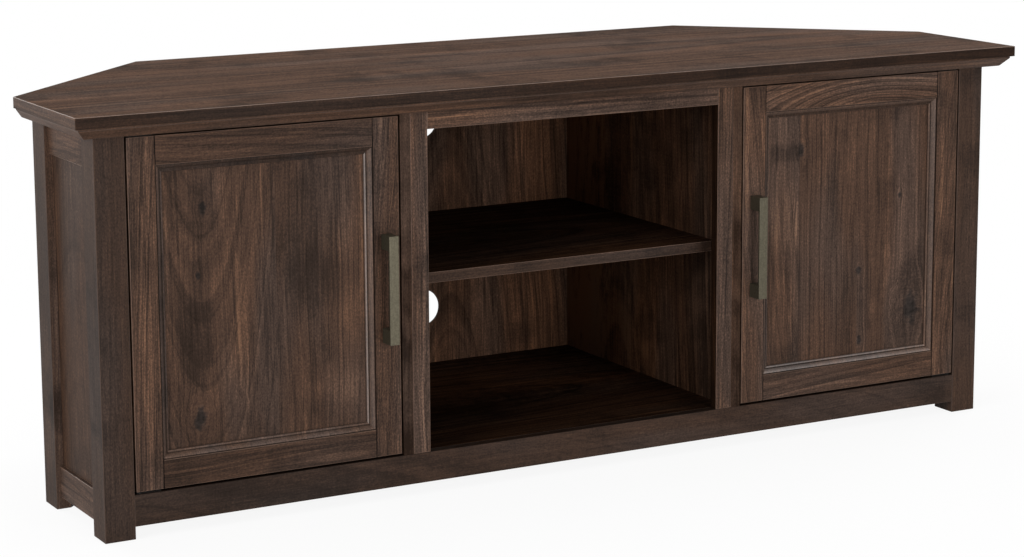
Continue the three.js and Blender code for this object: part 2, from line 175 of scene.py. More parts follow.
# the grain wanders: a slow lean, a wave and a shiver
grainBends = [((3.2, 3.2, 1.5), 0.034), ((10.0, 10.0, 4.5), 0.009), ((48.0, 48.0, 12.0), 0.0024)]

# marks along the rings: how many to a ring's width, detail and roughness
ringMarks = {"rings": (1.0, 3.5, 0.82), "veins": (0.75, 1.0, 0.5), "lines": (2.4, 2.0, 0.6)}

# marks that run with the grain: how often they come across, through and along the board, detail and roughness
grainMarks = {
    "streaks": ((85.0, 85.0, 1.3), 5.0, 0.76),
    "lights": ((110.0, 110.0, 2.0), 2.0, 0.55),
    "hairs": ((260.0, 260.0, 2.8), 2.0, 0.6),
    "pores": ((520.0, 520.0, 16.0), 2.0, 0.7),
    "flecks": ((560.0, 560.0, 320.0), 2.0, 0.6),
}

# marks that lie across or regardless of the grain
boardMarks = {
    "patches": ((7.0, 7.0, 9.0), 3.0, 0.6),
    "curl": ((42.0, 42.0, 420.0), 1.0, 0.5),
    "greys": ((15.0, 15.0, 3.0), 1.0, 0.5),
}

# from where to where in its noise a mark sets in
markSteps = {"patches": (0.5, 0.72), "lights": (0.55, 0.7), "hairs": (0.37, 0.47), "lines": (0.36, 0.46),
             "veins": (0.0, 0.035), "greys": (0.42, 0.66)}


# how far a place is from a middle, as a share of its reach across and along, with a ragged rim
def raggedDistance(tree, fromAcross, fromAlong, reachAcross, reachAlong, rim, rimReach):
    apart = put(tree, "ShaderNodeCombineXYZ", None, {
        0: sums(tree, "DIVIDE", fromAcross, reachAcross), 2: sums(tree, "DIVIDE", fromAlong, reachAlong)})
    return sums(tree, "ADD", vectors(tree, "LENGTH", apart, output="Value"), centred(tree, rim, rimReach))


# a colour made darker or lighter and warmer or cooler
def tinted(tree, colour, level, warmth):
    return blend(tree, 1.0, colour, (level, level * (1.0 - 0.5 * warmth), level * (1.0 - warmth), 1.0), "MULTIPLY")


def walnutMaterial(name, look):
    look = {**plainBoard, **look}
    material, tree, shader, place = newMaterial(name)
    axes = dict(zip("xyz", parted(tree, place)))
    across, depth, along = [axes[c] for c in look["axes"]]

    # boards glued edge to edge: each next one has its own grain
    boardNumber = None
    if look["boardEdges"]:
        boardNumber = total(tree, [sums(tree, "GREATER_THAN", across, edge) for edge in look["boardEdges"]])

    # a knot is dark and bends the grain around it
    knotTone = None
    for knotAcross, knotAlong, radius in look["knots"]:
        fromKnot = sums(tree, "SUBTRACT", across, knotAcross)
        upKnot = sums(tree, "SUBTRACT", along, knotAlong)
        distance = raggedDistance(tree, fromKnot, upKnot, radius, radius * knotLook["length"],
                                  noise(tree, place, *knotLook["rim"]), knotLook["rimReach"])
        near = remap(tree, distance, 0.0, knotLook["bend"], 1.0, 0.0, "SMOOTHERSTEP")
        bend = sums(tree, "MULTIPLY", fromKnot, sums(tree, "MULTIPLY", near, knotLook["bendShare"]))
        across = sums(tree, "SUBTRACT", across, bend)
        dark = stepped(tree, distance, *knotLook["dark"], 1.0, 0.0)
        knotTone = dark if knotTone is None else sums(tree, "MAXIMUM", knotTone, dark)

    # paler and darker clouds: where they are, how far they reach and how strong they are; none crosses a glued edge
    clouds = []
    for middleAcross, middleAlong, reachAcross, reachAlong, strength in look["shades"]:
        distance = raggedDistance(
            tree, sums(tree, "SUBTRACT", across, middleAcross), sums(tree, "SUBTRACT", along, middleAlong),
            reachAcross, reachAlong, stretchedNoise(tree, place, *cloudLook["rim"]), cloudLook["rimReach"])
        cloud = sums(tree, "MULTIPLY", stepped(tree, distance, *cloudLook["fade"], 1.0, 0.0), strength)
        if boardNumber is not None:
            number = sum(middleAcross > edge for edge in look["boardEdges"])
            cloud = sums(tree, "MULTIPLY", cloud, sums(tree, "COMPARE", boardNumber, number, 0.25))
        clouds.append(cloud)

    # the board's own part of the wood, and the grain's wandering in it
    start = tuple(look["seed"] * step for step in walnut["seedSteps"])
    board = put(tree, "ShaderNodeCombineXYZ", None, {0: across, 1: depth, 2: along})
    board = vectors(tree, "ADD", board, start)
    if boardNumber is not None:
        board = vectors(tree, "MULTIPLY_ADD", boardNumber, walnut["nextBoard"], board)
    grain = board
    for scale, reach in grainBends:
        wander = stretchedNoise(tree, board, scale, 1.0, output="Color")
        moved = vectors(tree, "MULTIPLY", vectors(tree, "SUBTRACT", wander, (0.5, 0.5, 0.5)), (reach, reach, 0.0))
        grain = vectors(tree, "ADD", grain, moved)

    # rings of a log whose middle leans across the board, which draws arches on its face
    pithAcross, pithDepth, lean = look["pith"]
    grainAcross, _, grainAlong = parted(tree, vectors(tree, "SUBTRACT", grain, start))
    fromPith = sums(tree, "SUBTRACT", grainAcross, pithAcross)
    pithDrop = sums(tree, "ADD", sums(tree, "MULTIPLY", grainAlong, lean), pithDepth)
    radiusOut = sums(tree, "SQRT", sums(tree, "ADD", sums(tree, "MULTIPLY", fromPith, fromPith),
                                       sums(tree, "MULTIPLY", pithDrop, pithDrop)))
    marks = {key: put(tree, "ShaderNodeTexNoise", {"noise_dimensions": "1D"}, {
        "W": sums(tree, "MULTIPLY", radiusOut, often / look["ringWidth"]),
        "Scale": 1.0, "Detail": detail, "Roughness": roughness})
        for key, (often, detail, roughness) in ringMarks.items()}
    marks.update({key: stretchedNoise(tree, grain, *settings) for key, settings in grainMarks.items()})
    marks.update({key: stretchedNoise(tree, board, *settings) for key, settings in boardMarks.items()})
    marks["veins"] = sums(tree, "ABSOLUTE", sums(tree, "SUBTRACT", marks["veins"], 0.5))

    def swing(key, strength):
        return centred(tree, marks[key], strength)

    def step(key, toLow, toHigh):
        return stepped(tree, marks[key], *markSteps[key], toLow, toHigh)

    figure, fineness = look["figure"], look["fineness"]
    ringFigure, streakFigure = figure * look["rings"], figure * look["streaks"]
    smudged = step("patches", 0.0, 1.0)
    parts = [
        swing("rings", walnut["ringTone"] * ringFigure),
        swing("streaks", walnut["streakTone"] * streakFigure),
        step("lights", 0.0, walnut["lightTone"] * streakFigure),
        step("hairs", -walnut["hairTone"] * figure, 0.0),
        step("lines", -walnut["lineTone"] * ringFigure, 0.0),
        sums(tree, "MULTIPLY", smudged, -look["smudge"]),
        step("veins", -look["vein"], 0.0),
        swing("pores", walnut["poreTone"] * fineness),
        swing("flecks", walnut["fleckTone"] * fineness),
        swing("curl", walnut["curlTone"] * fineness),
        sums(tree, "MULTIPLY", swing("curl", walnut["sawTone"]), smudged),
    ]
    if clouds:
        parts.append(total(tree, clouds))
    if knotTone is not None:
        parts.append(sums(tree, "MULTIPLY", knotTone, -walnut["knotTone"]))
    parts[0] = sums(tree, "ADD", parts[0], walnut["middleTone"])
    tone = total(tree, parts)
    colour = ramp(tree, tone, walnut["stops"])
    greyed = put(tree, "ShaderNodeHueSaturation", None, {**walnut["greyed"], "Color": colour})
    colour = blend(tree, step("greys", 0.0, 1.0), colour, greyed)
    if knotTone is not None:
        ashen = put(tree, "ShaderNodeHueSaturation", None, {**knotLook["ashen"], "Color": colour})
        colour = blend(tree, sums(tree, "MULTIPLY", knotTone, knotLook["ashenShare"]), colour, ashen)

    # the part of a piece before a given depth can have a level and a warmth of its own
    toned = tinted(tree, colour, look["tone"], look["warmth"])
    if "front" in look:
        before, frontLevel, frontWarmth = look["front"]
        toned = blend(tree, sums(tree, "LESS_THAN", axes["y"], before),
                      toned, tinted(tree, colour, frontLevel, frontWarmth))
    tree.links.new(toned, shader.inputs["Base Color"])
    tree.links.new(remap(tree, tone, 0.1, 0.9, walnut["roughAtDark"], walnut["roughAtLight"]),
                   shader.inputs["Roughness"])
    shader.inputs["Specular IOR Level"].default_value = look["gloss"]
    bumped(tree, shader, sums(tree, "ADD", marks["pores"], marks["streaks"]), *walnut["bump"])
    return material


# the thin line along a board's eased edges; the pale ones are partly wear and partly a painted highlight
arrisLook = {"speckle": (38.0, 3.0), "darker": 0.78, "rough": (0.46, 0.38), "gloss": 0.15}


def arrisMaterial(name, colour, gloss=arrisLook["gloss"]):
    material, tree, shader, place = newMaterial(name)
    speckle = noise(tree, place, *arrisLook["speckle"])
    tree.links.new(ramp(tree, speckle, [(0.3, [c * arrisLook["darker"] for c in colour]), (0.7, colour)]),
                   shader.inputs["Base Color"])
    tree.links.new(remap(tree, speckle, 0.2, 0.8, *arrisLook["rough"]), shader.inputs["Roughness"])
    shader.inputs["Specular IOR Level"].default_value = gloss
    return material


# brushed brass gone grey-green
brassLook = {"colour": (79, 74, 61), "worn": (88, 83, 69), "darker": 0.88, "rough": (0.54, 0.4), "metallic": 0.85,
             "brushed": ((2600.0, 2600.0, 60.0), 2.0), "clouds": (420.0, 3.0), "bump": (0.25, 0.00008)}


def brassMaterial(name):
    material, tree, shader, place = newMaterial(name)
    brushed = stretchedNoise(tree, place, *brassLook["brushed"])
    clouds = noise(tree, place, *brassLook["clouds"])
    mixed = sums(tree, "ADD", sums(tree, "MULTIPLY", brushed, 0.5), sums(tree, "MULTIPLY", clouds, 0.5))
    tree.links.new(ramp(tree, mixed, [
        (0.36, [c * brassLook["darker"] for c in brassLook["colour"]]),
        (0.5, brassLook["colour"]),
        (0.64, brassLook["worn"]),
    ]), shader.inputs["Base Color"])
    shader.inputs["Metallic"].default_value = brassLook["metallic"]
    tree.links.new(remap(tree, mixed, 0.3, 0.7, *brassLook["rough"]), shader.inputs["Roughness"])
    bumped(tree, shader, brushed, *brassLook["bump"])
    return material


# zinc-coated steel with a faint spangle
zincLook = {"dark": (138, 141, 145), "light": (186, 188, 190), "spangle": 420.0, "fine": (900.0, 2.0),
            "shares": (0.4, 0.6), "rough": (0.42, 0.28), "metallic": 0.9}


def zincMaterial(name):
    material, tree, shader, place = newMaterial(name)
    spangle = put(tree, "ShaderNodeTexVoronoi", None, {"Vector": place, "Scale": zincLook["spangle"]}, "Color")
    grey = put(tree, "ShaderNodeRGBToBW", None, {0: spangle})
    fine = noise(tree, place, *zincLook["fine"])
    greyShare, fineShare = zincLook["shares"]
    mixed = sums(tree, "ADD", sums(tree, "MULTIPLY", grey, greyShare), sums(tree, "MULTIPLY", fine, fineShare))
    tree.links.new(ramp(tree, mixed, [(0.2, zincLook["dark"]), (0.8, zincLook["light"])]), shader.inputs["Base Color"])
    shader.inputs["Metallic"].default_value = zincLook["metallic"]
    tree.links.new(remap(tree, mixed, 0.2, 0.8, *zincLook["rough"]), shader.inputs["Roughness"])
    return material


# blackened steel of the hinges
steelLook = {"dark": (15, 13, 12), "light": (24, 21, 20), "clouds": (700.0, 3.0), "rough": (0.66, 0.54), "gloss": 0.12}


def blackSteelMaterial(name):
    material, tree, shader, place = newMaterial(name)
    cloudy = noise(tree, place, *steelLook["clouds"])
    tree.links.new(ramp(tree, cloudy, [(0.3, steelLook["dark"]), (0.7, steelLook["light"])]),
                   shader.inputs["Base Color"])
    tree.links.new(remap(tree, cloudy, 0.2, 0.8, *steelLook["rough"]), shader.inputs["Roughness"])
    shader.inputs["Specular IOR Level"].default_value = steelLook["gloss"]
    return material


# brown plastic of the catches
plasticLook = {"dark": (40, 33, 29), "light": (54, 45, 40), "grain": (1300.0, 3.0), "roughness": 0.55,
               "bump": (0.3, 0.00005)}


def plasticMaterial(name):
    material, tree, shader, place = newMaterial(name)
    grained = noise(tree, place, *plasticLook["grain"])
    tree.links.new(ramp(tree, grained, [(0.3, plasticLook["dark"]), (0.7, plasticLook["light"])]),
                   shader.inputs["Base Color"])
    shader.inputs["Roughness"].default_value = plasticLook["roughness"]
    bumped(tree, shader, grained, *plasticLook["bump"])
    return material


# a pale edge line: partly wear, partly a painted highlight where the eased edges catch the light
wearAndHighlightArris = arrisMaterial("wearAndHighlightArris", (104, 82, 69))
darkArris = arrisMaterial("darkArris", (74, 58, 49))
jointLine = arrisMaterial("jointLine", (12, 9, 8), 0.02)
agedBrass = brassMaterial("agedBrass")
zincSteel = zincMaterial("zincSteel")
blackSteel = blackSteelMaterial("blackSteel")
brownPlastic = plasticMaterial("brownPlastic")
print("finishes ready")


def bodyOf(nodeName):
    return next(body for body, held in frame["record"]["behaviour"]["bodies"].items() if nodeName in held)


# a finished piece from a bmesh; it may stand for a CAD node
def finishPiece(mesh, name, materials, body, replaced=None):
    data = bpy.data.meshes.new(name)
    bmesh.ops.recalc_face_normals(mesh, faces=mesh.faces)
    for face in mesh.faces:
        face.smooth = True
    mesh.to_mesh(data)
    mesh.free()
    piece = bpy.data.objects.new(name, data)
    bpy.context.scene.collection.objects.link(piece)
    for material in materials:
        data.materials.append(material)
    weighted = piece.modifiers.new("evenNormals", "WEIGHTED_NORMAL")
    weighted.keep_sharp = True
    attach(piece, body)
    if replaced:
        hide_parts(replaced)
    return piece


# how near corners are to be joined, how flat faces are to be joined up, in degrees, how wide a board's edges are eased,
# and how sharp an edge is to be eased, in degrees, on boards and on metal
shapeLook = {"weld": 0.02 * mm, "flatWithin": 0.5, "boardEase": 0.7 * mm, "sharperThan": 25, "metalSharperThan": 40}


# a CAD node's own shape, with its flat faces joined up
def nodeMesh(nodeName):
    mesh = bmesh.new()
    mesh.from_mesh(nodes[nodeName].data)
    bmesh.ops.remove_doubles(mesh, verts=mesh.verts, dist=shapeLook["weld"])
    bmesh.ops.dissolve_limit(mesh, angle_limit=math.radians(shapeLook["flatWithin"]),
                             verts=mesh.verts, edges=mesh.edges)
    return mesh


def boxMesh(low, high):
    mesh = bmesh.new()
    bmesh.ops.create_cube(mesh, size=1.0)
    for v in mesh.verts:
        v.co = Vector([low[i] if v.co[i] < 0 else high[i] for i in range(3)])
    return mesh


# the eased edges take the piece's second material
def easeEdges(mesh, width, segments=2, sharperThan=shapeLook["sharperThan"]):
    edges = [e for e in mesh.edges if len(e.link_faces) == 2 and e.calc_face_angle(0) > math.radians(sharperThan)]
    bmesh.ops.bevel(mesh, geom=edges, offset=width, offset_type="OFFSET", segments=segments, profile=0.5,
                    affect="EDGES", clamp_overlap=True, material=1)


def boardFromMesh(mesh, nodeName, material, arris, ease):
    easeEdges(mesh, ease)
    return finishPiece(mesh, nodeName + "_board", [material, arris], bodyOf(nodeName), nodeName)


# a board takes its shape from its CAD node
def boardFromNode(nodeName, material, arris, slotName, ease=shapeLook["boardEase"]):
    return boardFromMesh(nodeMesh(nodeName), nodeName, material, arris, ease)


# a board whose CAD node has holes that its fittings hide: its outline is drawn again in the node's box
def boardFromBox(nodeName, material, arris, slotName, ease=shapeLook["boardEase"]):
    return boardFromMesh(boxMesh(*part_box(nodeName)), nodeName, material, arris, ease)


# the faces that a test picks get a material of their own
def paintFaces(piece, material, picks):
    piece.data.materials.append(material)
    for face in piece.data.polygons:
        if picks(face):
            face.material_index = len(piece.data.materials) - 1


# a CAD node that stays as it is and gets a material
def paintNode(nodeName, material):
    materials = nodes[nodeName].data.materials
    materials.clear()
    materials.append(material)


# one side's look: the first of each pair is the left side's, and a mirrored look's log lies on its own side
def sideLook(look, index, **more):
    made = dict(look, seed=look["seeds"][index])
    if "tones" in look:
        made["tone"] = look["tones"][index]
    if look.get("mirrored") and index == 0:
        across, depth, lean = look["pith"]
        made["pith"] = (-across, depth, lean)
    return {**made, **more}


# top and cornice; the top's edges are banded with strips whose grain runs along them
topLook = {
    # the top board's tone is set high: partly its own paler wood, partly painted light from above
    "board": {"axes": "yzx", "seed": 1.0, "tone": 1.34, "pith": (0.02, 0.3, 0.01), "ringWidth": 0.02,
              "figure": 0.55, "smudge": 0.15, "gloss": 0.003, "fineness": 1.25,
              "shades": [(0.26, 0.5, 0.07, 0.25, -0.14)]},
    "frontEdge": {"axes": "zyx", "seed": 1.7, "tone": 0.36, "warmth": 0.12, "pith": (0.7, 0.04, 0.01), "figure": 0.5},
    "sideEdge": {"axes": "zxy", "seed": 1.9, "tone": 0.75, "pith": (0.7, 0.04, 0.01), "figure": 0.5},
    "cornice": {"axes": "zyx", "seed": 2.3, "tone": 0.8, "pith": (0.8, 0.04, 0.01), "figure": 0.7},
    "sideCornice": {"axes": "zxy", "seeds": (5.3, 6.1), "pith": (0.8, 0.04, 0.01), "figure": 0.7},
    "arrisHighlightColour": (128, 108, 96), "arris": 0.6 * mm, "corniceEase": 0.4 * mm,
}


def onTopsEdge(face):
    return abs(face.normal.z) < 0.1 or (face.material_index == 1 and face.normal.z < 0)


# the top's eased edges are a pale line: a painted highlight
topBoard = boardFromNode("top", walnutMaterial("topWalnut", topLook["board"]),
                         arrisMaterial("topArrisHighlight", topLook["arrisHighlightColour"]), "walnut", topLook["arris"])
paintFaces(topBoard, walnutMaterial("topFrontEdgeWalnut", topLook["frontEdge"]),
           lambda face: onTopsEdge(face) and abs(face.normal.x) <= 0.5)
paintFaces(topBoard, walnutMaterial("topSideEdgeWalnut", topLook["sideEdge"]),
           lambda face: onTopsEdge(face) and abs(face.normal.x) > 0.5)
boardFromNode("front_cornice", walnutMaterial("corniceWalnut", topLook["cornice"]), darkArris, "walnut",
              topLook["corniceEase"])
for index, side in enumerate(("left", "right")):
    boardFromNode(f"{side}_cornice",
                  walnutMaterial(f"{side}CorniceWalnut", sideLook(topLook["sideCornice"], index)),
                  darkArris, "walnut", topLook["corniceEase"])
print("top and cornice done")

# legs, sides and front frame
frameLook = {
    "leg": {"axes": "xyz", "seeds": (21.0, 24.3), "tones": (0.54, 0.67), "pith": (0.5, 0.25, 0.03), "mirrored": True,
            "warmth": -0.1, "figure": 0.35, "ringWidth": 0.03, "smudge": 0.2, "fineness": 0.95},
    # the rear leg's front face, in the recess beside the side panel, is painted lighter: painted light
    "rearLegFront": 1.35,
    "sidePanel": {"axes": "yxz", "seeds": (31.0, 33.7), "pith": (-0.12, 0.7, 0.05), "figure": 0.6, "rings": 0.6,
                  "smudge": 0.08},
    # the side panel's tone, and a painted shadow line at its rear end
    "panelTone": 0.6, "gapShadowTone": 0.08, "panelShadowLine": 1.8 * mm,
    "sideRail": {"axes": "zxy", "seeds": (41.0, 42.9), "pith": (0.3, 0.65, 0.05), "tone": 0.9, "figure": 0.6},
    "bottomRail": {"axes": "zyx", "seed": 11.2, "tone": 0.63, "warmth": -0.1, "figure": 0.3, "smudge": 0.08,
                   "fineness": 0.8, "shades": [(0.03, -0.6, 0.3, 0.45, -0.08)]},
    # the bottom rail's top face, under the doors, is painted dark: painted shade in the gap
    "railTop": {"axes": "zyx", "seed": 11.9, "tone": 0.2, "figure": 0.3},
    "stretcher": {"axes": "zyx", "seed": 12.9, "tone": 0.9, "figure": 0.6},
    "topRail": {"axes": "zyx", "seed": 13.4, "tone": 1.03, "figure": 1.1, "fineness": 1.2},
    # the divider's sides are painted dark as the shade in the bay, with painted shade at the front and painted light at
    # the back; its front strip is painted paler
    "divider": {"axes": "yxz", "seeds": (61.0, 63.9), "pith": (0.1, 0.3, 0.04), "tone": 0.8, "figure": 0.8,
                "gloss": 0.01, "warmth": 0.25,
                "shades": [(-0.2, 0.28, 0.1, 0.5, -0.14), (-0.2, 0.1, 0.12, 0.1, -0.12), (0.1, 0.28, 0.15, 0.5, 0.14),
                           (0.15, 0.1, 0.12, 0.1, 0.17), (0.24, 0.28, 0.09, 0.5, 0.3)]},
    "dividerFront": (1.3, 0.07), "frontDepth": 0.5 * mm,
    "batten": {"axes": "xyz", "seeds": (51.0, 53.1), "tones": (1.05, 0.9), "pith": (0.7, 0.24, 0.06),
               "mirrored": True, "figure": 0.95, "fineness": 1.3},
    # the batten's inner side face, towards the bay, is painted dark: painted shade
    "battenShadedSide": {"axes": "yxz", "seed": 55.0, "tone": 0.2, "warmth": 0.3, "gloss": 0.01},
    "railEase": 0.4 * mm, "legEase": 0.8 * mm,
}
bottomRail = boardFromNode("front_bottom_rail", walnutMaterial("bottomRailWalnut", frameLook["bottomRail"]), darkArris,
                           "dark_walnut", frameLook["railEase"])
# painted shade on the rail's top face under the doors
paintFaces(bottomRail, walnutMaterial("railTopWalnut", frameLook["railTop"]), lambda face: face.normal.z > 0.3)
boardFromNode("top_stretcher", walnutMaterial("stretcherWalnut", frameLook["stretcher"]), darkArris, "walnut")
boardFromNode("middle_top_rail", walnutMaterial("middleRailWalnut", frameLook["topRail"]), wearAndHighlightArris, "walnut")
battenShadedSide = walnutMaterial("battenShadedSideWalnut", frameLook["battenShadedSide"])
for index, side in enumerate(("left", "right")):
    outward = -1 if side == "left" else 1
    legWalnut = walnutMaterial(f"{side}LegWalnut", sideLook(frameLook["leg"], index))
    legs = {leg: boardFromNode(f"{side}_{leg}", legWalnut, darkArris, "dark_walnut", frameLook["legEase"])
            for leg in ("front_leg", "rear_leg", "back_foot")}
    # painted light on the rear leg's front face
    paintFaces(legs["rear_leg"],
               walnutMaterial(f"{side}RearLegFrontLitWalnut",
                              sideLook(frameLook["leg"], index, tone=frameLook["rearLegFront"])),
               lambda face: face.normal.y < -0.9 and face.material_index == 0)
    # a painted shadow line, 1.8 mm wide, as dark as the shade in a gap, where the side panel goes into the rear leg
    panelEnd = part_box(f"{side}_rear_leg")[0].y - frameLook["panelShadowLine"]
    boardFromNode(f"{side}_side_panel", walnutMaterial(f"{side}SidePanelWalnut", sideLook(
        frameLook["sidePanel"], index, tone=frameLook["gapShadowTone"],
        front=(panelEnd, frameLook["panelTone"], 0.0))), wearAndHighlightArris, "walnut")
    railWalnut = walnutMaterial(f"{side}SideRailWalnut", sideLook(frameLook["sideRail"], index))
    for rail in ("top", "bottom"):
        boardFromNode(f"{side}_side_{rail}_rail", railWalnut, wearAndHighlightArris, "walnut")
    batten = boardFromNode(f"{side}_batten",
                           walnutMaterial(f"{side}BattenWalnut", sideLook(frameLook["batten"], index)),
                           wearAndHighlightArris, "walnut")
    # painted shade on the batten's inner side face
    paintFaces(batten, battenShadedSide, lambda face: face.normal.x * outward < -0.5)
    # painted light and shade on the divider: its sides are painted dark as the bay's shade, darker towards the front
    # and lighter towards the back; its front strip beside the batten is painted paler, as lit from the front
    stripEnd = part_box(f"{side}_batten")[0].y + frameLook["frontDepth"]
    paintNode(f"{side}_divider", walnutMaterial(f"{side}DividerShadedWalnut", sideLook(
        frameLook["divider"], index, front=(stripEnd, *frameLook["dividerFront"]))))
print("legs, sides and front frame done")

# backs, floor and shelves
innerLook = {
    # the back board's face towards the bay is painted lighter than its outer face: painted light; its clouds are
    # painted shade near the middle and painted light towards the right end
    "back": {"axes": "xyz", "seed": 71.0, "tone": 0.95, "pith": (0.05, 0.2, 0.05), "rings": 0.8, "gloss": 0.01,
             "shades": [(0.05, 0.4, 0.09, 0.2, -0.13), (0.05, 0.15, 0.09, 0.12, -0.09), (0.22, 0.38, 0.06, 0.4, 0.09)]},
    "backInside": (1.27, 0.2),
    "diagonal": {"axes": "xyz", "seeds": (73.0, 76.7), "tone": 0.92, "pith": (0.5, 0.0, 0.05)},
    "diagonalEnd": 7 * mm, "cornerReach": 0.7 * mm,
    # the floor and shelves are painted dark as the shade inside the bay, with painted light towards the back of the
    # floor and the front of the shelves; the middle shelf's front edge keeps a plainer tone
    "floor": {"axes": "yzx", "seed": 75.0, "tone": 0.4, "figure": 0.8, "gloss": 0.0, "warmth": 0.3,
              "shades": [(0.12, 0.0, 0.13, 0.4, 0.2)]},
    "shelf": {"axes": "yzx", "seed": 77.0, "seeds": (81.0, 82.7), "tone": 0.42, "figure": 0.8, "gloss": 0.0,
              "warmth": 0.2, "shades": [(-0.2, 0.0, 0.1, 0.4, 0.14)]},
    "shelfEdge": {"axes": "zyx", "seed": 78.0, "tone": 0.58, "warmth": -0.1, "pith": (0.8, 0.04, 0.01), "figure": 0.4},
    "diagonalEase": 0.3 * mm, "floorEase": 0.4 * mm,
}
backLow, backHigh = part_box("back_panel")
# painted light and shade on the back board's face towards the bay
paintNode("back_panel", walnutMaterial("backLitAndShadedWalnut", dict(
    innerLook["back"], front=((backLow.y + backHigh.y) / 2, *innerLook["backInside"]))))
for index, side in enumerate(("left", "right")):
    diagonal = boardFromNode(f"{side}_diagonal_back",
                             walnutMaterial(f"{side}DiagonalWalnut", sideLook(innerLook["diagonal"], index)),
                             darkArris, "walnut", innerLook["diagonalEase"])
    # its rear end meets the back board, so that no light comes through the corner
    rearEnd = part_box(f"{side}_diagonal_back")[1].y - innerLook["diagonalEnd"]
    towardsBack = Vector((1.0 if side == "left" else -1.0, 1.0, 0.0))
    for vertex in diagonal.data.vertices:
        if vertex.co.y > rearEnd:
            vertex.co += towardsBack * innerLook["cornerReach"]
    # painted shade on the side shelves
    boardFromNode(f"{side}_shelf", walnutMaterial(f"{side}ShelfShadedWalnut", sideLook(innerLook["shelf"], index)),
                  darkArris, "dark_walnut")
# painted shade on the floor and middle shelf, whose front edge keeps a plainer tone
boardFromNode("floor_panel", walnutMaterial("floorShadedWalnut", innerLook["floor"]), darkArris, "dark_walnut",
              innerLook["floorEase"])
middleShelf = boardFromNode("middle_shelf", walnutMaterial("shelfShadedWalnut", innerLook["shelf"]), wearAndHighlightArris, "dark_walnut")
paintFaces(middleShelf, walnutMaterial("shelfEdgeWalnut", innerLook["shelfEdge"]),
           lambda face: face.normal.y < -0.5 and face.material_index == 0)
print("backs, floor and shelves done")

# doors
doorLook = {
    "frameEase": 0.6 * mm, "panelEase": 0.2 * mm, "jointReach": 1 * mm,
    "left": {
        "panel": {"axes": "xyz", "seed": 3.7, "boardEdges": [-0.4514], "pith": (-0.555, 0.16, -0.12),
                  "ringWidth": 0.009, "figure": 0.85, "rings": 0.65, "smudge": 0.12, "vein": 0.04, "tone": 0.8,
                  "knots": [(-0.563, 0.145, 0.008), (-0.553, 0.424, 0.0045), (-0.562, 0.335, 0.003)],
                  "shades": [(-0.4, 0.315, 0.045, 0.045, -0.12), (-0.41, 0.39, 0.045, 0.1, -0.07),
                             (-0.366, 0.158, 0.045, 0.03, 0.12), (-0.388, 0.14, 0.026, 0.02, -0.1),
                             (-0.568, 0.257, 0.022, 0.08, -0.18), (-0.581, 0.359, 0.011, 0.08, 0.07),
                             (-0.5265, 0.45, 0.012, 0.05, 0.1), (-0.344, 0.373, 0.02, 0.04, 0.09),
                             (-0.344, 0.264, 0.02, 0.045, 0.09), (-0.5, 0.28, 0.045, 0.16, 0.05)]},
        "hingeStile": {"axes": "xyz", "seed": 4.9, "pith": (-0.42, 0.14, 0.07), "ringWidth": 0.004, "rings": 1.1,
                       "streaks": 0.8, "fineness": 1.1, "tone": 0.93},
        "lockStile": {"axes": "xyz", "seed": 6.2, "pith": (-0.12, 0.16, 0.08), "ringWidth": 0.004, "figure": 0.8,
                      "fineness": 1.3, "tone": 0.85},
        "topRail": {"axes": "zyx", "seed": 7.7, "pith": (0.44, 0.16, 0.04), "ringWidth": 0.007, "figure": 0.8,
                    "tone": 0.72},
        "bottomRail": {"axes": "zyx", "seed": 8.1, "pith": (0.25, 0.2, 0.03), "figure": 0.7, "tone": 0.67},
    },
    "right": {
        "panel": {"axes": "xyz", "seed": 14.2, "boardEdges": [0.38, 0.4855], "pith": (0.444, 0.16, -0.1),
                  "ringWidth": 0.008, "figure": 0.85, "rings": 0.6, "smudge": 0.12, "vein": 0.04, "tone": 0.95,
                  "knots": [(0.584, 0.172, 0.014), (0.382, 0.425, 0.005), (0.561, 0.3425, 0.003),
                            (0.4905, 0.131, 0.004), (0.488, 0.237, 0.004)],
                  "shades": [(0.365, 0.4225, 0.05, 0.013, -0.16), (0.365, 0.323, 0.036, 0.05, 0.1),
                             (0.365, 0.258, 0.042, 0.03, -0.07), (0.539, 0.224, 0.012, 0.05, 0.13),
                             (0.5254, 0.171, 0.02, 0.04, 0.1), (0.5736, 0.134, 0.032, 0.035, -0.12),
                             (0.4586, 0.165, 0.012, 0.09, -0.1), (0.445, 0.341, 0.01, 0.1, -0.08),
                             (0.4745, 0.417, 0.01, 0.06, 0.09), (0.429, 0.4465, 0.008, 0.05, 0.08)]},
        "hingeStile": {"axes": "xyz", "seed": 15.9, "pith": (0.76, 0.16, 0.1), "ringWidth": 0.005, "figure": 0.85,
                       "rings": 0.9, "fineness": 1.1},
        "lockStile": {"axes": "xyz", "seed": 16.3, "pith": (0.12, 0.14, 0.12), "ringWidth": 0.004, "figure": 0.85,
                      "fineness": 1.1, "tone": 1.07},
        "topRail": {"axes": "zyx", "seed": 17.8, "pith": (0.47, -0.1325, 0.25), "ringWidth": 0.0065, "rings": 1.6,
                    "streaks": 0.4, "tone": 1.22},
        "bottomRail": {"axes": "zyx", "seed": 18.4, "pith": (0.2, 0.2, 0.05), "figure": 0.8, "tone": 0.98},
    },
}

